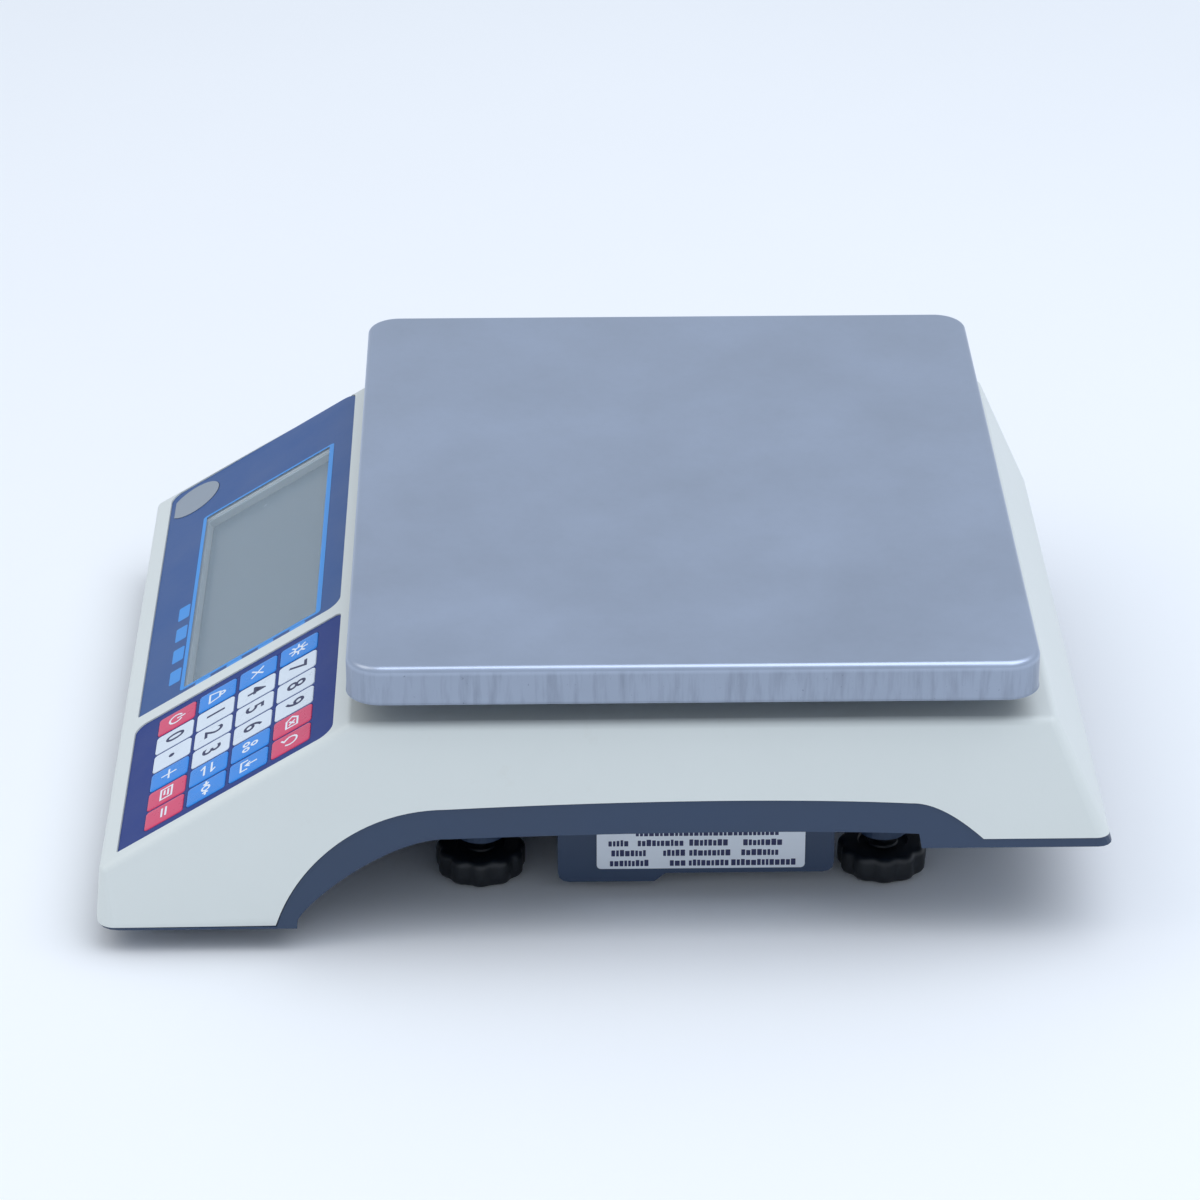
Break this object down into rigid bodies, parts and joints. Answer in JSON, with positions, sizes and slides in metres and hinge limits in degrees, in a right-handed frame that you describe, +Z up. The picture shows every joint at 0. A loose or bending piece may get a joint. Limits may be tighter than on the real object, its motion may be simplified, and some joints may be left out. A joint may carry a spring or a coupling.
{
  "type": "label printing scale",
  "caption": "Low counting scale with a sloped display and keypad, a lift-off steel pan on a load cell, and screw levelling feet.",
  "frame": {"origin": "on the table, under the middle of the housing", "axes": "+X is the operator's right, +Y runs from the operator's side to the rear, +Z is up"},
  "size_m": [0.294, 0.34, 0.108],
  "materials": {
    "cover": "fine moulded texture",
    "tray": "fine moulded texture",
    "pan_steel": "satin, light scratches",
    "spider_metal": "satin",
    "cell_aluminium": "anodised",
    "plated_steel": "zinc plated",
    "blue_film": "satin polyester film",
    "clear_window": "clear",
    "grey_plastic": "matt",
    "lcd": "satin polariser",
    "circuit_film": "clear printed film",
    "circuit_board": "solder mask",
    "battery_case": "matt",
    "black_plastic": "matt",
    "rubber": "matt",
    "white_key": "satin film",
    "blue_key": "satin film",
    "red_key": "satin film",
    "vial": "clear",
    "label_foil": "satin foil",
    "silver_foil": "satin"
  },
  "bodies": {
    "base": {"top_cover": "cover", "base_tray": "tray", "chassis_plate": "plated_steel", "load_cell": "cell_aluminium", "cell_spacer": "cell_aluminium", "display_overlay": "blue_film", "display_window": "clear_window", "lcd_frame": "grey_plastic", "lcd_glass": "lcd", "keypad_overlay": "blue_film", "keypad_circuit": "circuit_film", "main_board": "circuit_board", "battery": "battery_case", "switch_body": "black_plastic", "dc_jack": "black_plastic", "serial_port": "plated_steel", "level_vial": "vial", "spec_label": "label_foil", "silver_badge": "silver_foil"},
    "pan_carrier": {"pan_spider": "spider_metal", "pan_button_front_left": "rubber", "pan_button_front_right": "rubber", "pan_button_rear_left": "rubber", "pan_button_rear_right": "rubber"},
    "weighing_pan": {"pan": "pan_steel"},
    "power_rocker": {"power_rocker": "red_key"},
    "battery_door": {"battery_door": "tray"},
    "key_lamp": {"key_lamp": "blue_key"},
    "key_7": {"key_7": "white_key"},
    "key_8": {"key_8": "white_key"},
    "key_9": {"key_9": "white_key"},
    "key_clear": {"key_clear": "red_key"},
    "key_recall": {"key_recall": "red_key"},
    "key_times": {"key_times": "blue_key"},
    "key_4": {"key_4": "white_key"},
    "key_5": {"key_5": "white_key"},
    "key_6": {"key_6": "white_key"},
    "key_sample": {"key_sample": "blue_key"},
    "key_tare": {"key_tare": "blue_key"},
    "key_weight": {"key_weight": "blue_key"},
    "key_1": {"key_1": "white_key"},
    "key_2": {"key_2": "white_key"},
    "key_3": {"key_3": "white_key"},
    "key_units": {"key_units": "blue_key"},
    "key_zero": {"key_zero": "blue_key"},
    "key_power": {"key_power": "red_key"},
    "key_0": {"key_0": "white_key"},
    "key_point": {"key_point": "white_key"},
    "key_add": {"key_add": "blue_key"},
    "key_label": {"key_label": "red_key"},
    "key_total": {"key_total": "red_key"},
    "foot_pad_front_left": {"foot_pad_front_left": "rubber"},
    "foot_knob_front_left": {"foot_knob_front_left": "black_plastic"},
    "foot_pad_front_right": {"foot_pad_front_right": "rubber"},
    "foot_knob_front_right": {"foot_knob_front_right": "black_plastic"},
    "foot_pad_rear_left": {"foot_pad_rear_left": "rubber"},
    "foot_knob_rear_left": {"foot_knob_rear_left": "black_plastic"},
    "foot_pad_rear_right": {"foot_pad_rear_right": "rubber"},
    "foot_knob_rear_right": {"foot_knob_rear_right": "black_plastic"}
  },
  "joints": [
    {"name": "cell_flex", "type": "slide", "parent": "base", "child": "pan_carrier", "axis": [0, 0, 1], "range_m": [-0.0005, 0], "stiffness_N_per_m": 120000, "springref_m": 0.00025, "deforming": ["load_cell"]},
    {"name": "pan_lift", "type": "slide", "parent": "pan_carrier", "child": "weighing_pan", "axis": [0, 0, 1], "range_m": [0, 0.04]},
    {"name": "power_switch", "type": "hinge", "parent": "base", "child": "power_rocker", "pos_m": [-0.103, 0.00257, 0.026], "axis": [0, 1, 0], "range_deg": [0, 14]},
    {"name": "door_slide", "type": "slide", "parent": "base", "child": "battery_door", "axis": [1, 0, 0], "range_m": [0, 0.035]},
    {"name": "key_lamp_press", "type": "slide", "parent": "base", "child": "key_lamp", "axis": [0, 0.5255, -0.8508], "range_m": [0, 0.0004], "stiffness_N_per_m": 4000},
    {"name": "key_7_press", "type": "slide", "parent": "base", "child": "key_7", "axis": [0, 0.5255, -0.8508], "range_m": [0, 0.0004], "stiffness_N_per_m": 4000},
    {"name": "key_8_press", "type": "slide", "parent": "base", "child": "key_8", "axis": [0, 0.5255, -0.8508], "range_m": [0, 0.0004], "stiffness_N_per_m": 4000},
    {"name": "key_9_press", "type": "slide", "parent": "base", "child": "key_9", "axis": [0, 0.5255, -0.8508], "range_m": [0, 0.0004], "stiffness_N_per_m": 4000},
    {"name": "key_clear_press", "type": "slide", "parent": "base", "child": "key_clear", "axis": [0, 0.5255, -0.8508], "range_m": [0, 0.0004], "stiffness_N_per_m": 4000},
    {"name": "key_recall_press", "type": "slide", "parent": "base", "child": "key_recall", "axis": [0, 0.5255, -0.8508], "range_m": [0, 0.0004], "stiffness_N_per_m": 4000},
    {"name": "key_times_press", "type": "slide", "parent": "base", "child": "key_times", "axis": [0, 0.5255, -0.8508], "range_m": [0, 0.0004], "stiffness_N_per_m": 4000},
    {"name": "key_4_press", "type": "slide", "parent": "base", "child": "key_4", "axis": [0, 0.5255, -0.8508], "range_m": [0, 0.0004], "stiffness_N_per_m": 4000},
    {"name": "key_5_press", "type": "slide", "parent": "base", "child": "key_5", "axis": [0, 0.5255, -0.8508], "range_m": [0, 0.0004], "stiffness_N_per_m": 4000},
    {"name": "key_6_press", "type": "slide", "parent": "base", "child": "key_6", "axis": [0, 0.5255, -0.8508], "range_m": [0, 0.0004], "stiffness_N_per_m": 4000},
    {"name": "key_sample_press", "type": "slide", "parent": "base", "child": "key_sample", "axis": [0, 0.5255, -0.8508], "range_m": [0, 0.0004], "stiffness_N_per_m": 4000},
    {"name": "key_tare_press", "type": "slide", "parent": "base", "child": "key_tare", "axis": [0, 0.5255, -0.8508], "range_m": [0, 0.0004], "stiffness_N_per_m": 4000},
    {"name": "key_weight_press", "type": "slide", "parent": "base", "child": "key_weight", "axis": [0, 0.5255, -0.8508], "range_m": [0, 0.0004], "stiffness_N_per_m": 4000},
    {"name": "key_1_press", "type": "slide", "parent": "base", "child": "key_1", "axis": [0, 0.5255, -0.8508], "range_m": [0, 0.0004], "stiffness_N_per_m": 4000},
    {"name": "key_2_press", "type": "slide", "parent": "base", "child": "key_2", "axis": [0, 0.5255, -0.8508], "range_m": [0, 0.0004], "stiffness_N_per_m": 4000},
    {"name": "key_3_press", "type": "slide", "parent": "base", "child": "key_3", "axis": [0, 0.5255, -0.8508], "range_m": [0, 0.0004], "stiffness_N_per_m": 4000},
    {"name": "key_units_press", "type": "slide", "parent": "base", "child": "key_units", "axis": [0, 0.5255, -0.8508], "range_m": [0, 0.0004], "stiffness_N_per_m": 4000},
    {"name": "key_zero_press", "type": "slide", "parent": "base", "child": "key_zero", "axis": [0, 0.5255, -0.8508], "range_m": [0, 0.0004], "stiffness_N_per_m": 4000},
    {"name": "key_power_press", "type": "slide", "parent": "base", "child": "key_power", "axis": [0, 0.5255, -0.8508], "range_m": [0, 0.0004], "stiffness_N_per_m": 4000},
    {"name": "key_0_press", "type": "slide", "parent": "base", "child": "key_0", "axis": [0, 0.5255, -0.8508], "range_m": [0, 0.0004], "stiffness_N_per_m": 4000},
    {"name": "key_point_press", "type": "slide", "parent": "base", "child": "key_point", "axis": [0, 0.5255, -0.8508], "range_m": [0, 0.0004], "stiffness_N_per_m": 4000},
    {"name": "key_add_press", "type": "slide", "parent": "base", "child": "key_add", "axis": [0, 0.5255, -0.8508], "range_m": [0, 0.0004], "stiffness_N_per_m": 4000},
    {"name": "key_label_press", "type": "slide", "parent": "base", "child": "key_label", "axis": [0, 0.5255, -0.8508], "range_m": [0, 0.0004], "stiffness_N_per_m": 4000},
    {"name": "key_total_press", "type": "slide", "parent": "base", "child": "key_total", "axis": [0, 0.5255, -0.8508], "range_m": [0, 0.0004], "stiffness_N_per_m": 4000},
    {"name": "foot_travel_front_left", "type": "slide", "parent": "base", "child": "foot_pad_front_left", "axis": [0, 0, -1], "range_m": [-0.0015, 0.008]},
    {"name": "foot_turn_front_left", "type": "hinge", "parent": "foot_pad_front_left", "child": "foot_knob_front_left", "pos_m": [-0.09, -0.04143, 0.005], "axis": [0, 0, -1], "range_deg": [-545, 2885]},
    {"name": "foot_travel_front_right", "type": "slide", "parent": "base", "child": "foot_pad_front_right", "axis": [0, 0, -1], "range_m": [-0.0015, 0.008]},
    {"name": "foot_turn_front_right", "type": "hinge", "parent": "foot_pad_front_right", "child": "foot_knob_front_right", "pos_m": [0.09, -0.04143, 0.005], "axis": [0, 0, -1], "range_deg": [-545, 2885]},
    {"name": "foot_travel_rear_left", "type": "slide", "parent": "base", "child": "foot_pad_rear_left", "axis": [0, 0, -1], "range_m": [-0.0015, 0.008]},
    {"name": "foot_turn_rear_left", "type": "hinge", "parent": "foot_pad_rear_left", "child": "foot_knob_rear_left", "pos_m": [-0.09, 0.09757, 0.005], "axis": [0, 0, -1], "range_deg": [-545, 2885]},
    {"name": "foot_travel_rear_right", "type": "slide", "parent": "base", "child": "foot_pad_rear_right", "axis": [0, 0, -1], "range_m": [-0.0015, 0.008]},
    {"name": "foot_turn_rear_right", "type": "hinge", "parent": "foot_pad_rear_right", "child": "foot_knob_rear_right", "pos_m": [0.09, 0.09757, 0.005], "axis": [0, 0, -1], "range_deg": [-545, 2885]}
  ],
  "couplings": [
    {"joint": "foot_turn_front_left", "follows": "foot_travel_front_left", "rad_per_m": 6283.2},
    {"joint": "foot_turn_front_right", "follows": "foot_travel_front_right", "rad_per_m": 6283.2},
    {"joint": "foot_turn_rear_left", "follows": "foot_travel_rear_left", "rad_per_m": 6283.2},
    {"joint": "foot_turn_rear_right", "follows": "foot_travel_rear_right", "rad_per_m": 6283.2}
  ]
}
